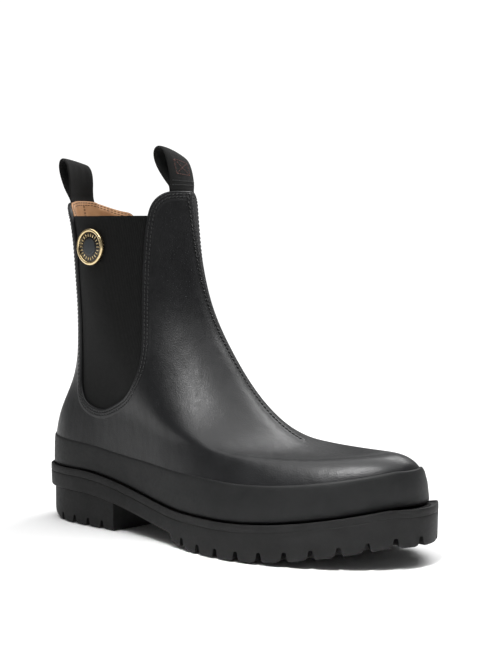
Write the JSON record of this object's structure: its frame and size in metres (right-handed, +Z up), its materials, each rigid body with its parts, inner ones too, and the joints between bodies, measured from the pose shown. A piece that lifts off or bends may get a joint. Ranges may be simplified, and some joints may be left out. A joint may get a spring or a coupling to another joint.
{
  "type": "chelsea boot",
  "caption": "Right-foot ankle boot with elastic side panels, a lugged rubber sole, a rubber band above it, and webbing pull loops at the front and back of the collar.",
  "frame": {"origin": "on the ground, at the centre of the boot's bounding box seen from above", "axes": "+X towards the toe, +Y towards the inner side of the foot, +Z up"},
  "size_m": [0.298, 0.1099, 0.2482],
  "materials": {
    "black_leather": "smooth semi-matt black leather",
    "black_rubber": "matt black rubber",
    "black_elastic": "ribbed black elastic webbing",
    "black_webbing": "woven black tape",
    "tan_leather": "smooth tan lining leather",
    "gold_metal": "polished gold-coloured metal",
    "badge_enamel": "gloss black enamel",
    "steel": "plain steel",
    "fibre_board": "compressed fibre board",
    "cork": "granulated cork",
    "stiffener": "thermoplastic stiffener sheet"
  },
  "bodies": {
    "boot": {"badge_boss": "badge_enamel", "badge_cup": "gold_metal", "badge_dial": "badge_enamel", "badge_washer": "steel", "bottom_filler": "cork", "front_seam_strip": "black_leather", "front_tab_tail": "black_webbing", "gore_inner": "black_elastic", "gore_outer": "black_elastic", "heel_block": "black_rubber", "heel_counter": "stiffener", "heel_lining": "tan_leather", "heel_nail_1": "steel", "heel_nail_2": "steel", "heel_nail_3": "steel", "heel_nail_4": "steel", "heel_nail_5": "steel", "insole_board": "fibre_board", "outsole": "black_rubber", "rand": "black_rubber", "rear_tab_tail": "black_webbing", "shank": "steel", "sock_liner": "tan_leather", "toe_puff": "stiffener", "upper": "black_leather", "vamp_lining": "tan_leather"},
    "front_tab": {"front_pull_tab": "black_webbing"},
    "rear_tab": {"rear_pull_tab": "black_webbing"}
  },
  "joints": [
    {"name": "front_tab_fold", "type": "hinge", "parent": "boot", "child": "front_tab", "pos_m": [-0.0385, 0, 0.2213], "axis": [0, 1, 0], "range_deg": [-60, 90], "stiffness_Nm_per_rad": 0.02},
    {"name": "rear_tab_fold", "type": "hinge", "parent": "boot", "child": "rear_tab", "pos_m": [-0.13, 0, 0.2143], "axis": [0, 1, 0], "range_deg": [-85, 80], "stiffness_Nm_per_rad": 0.02}
  ]
}
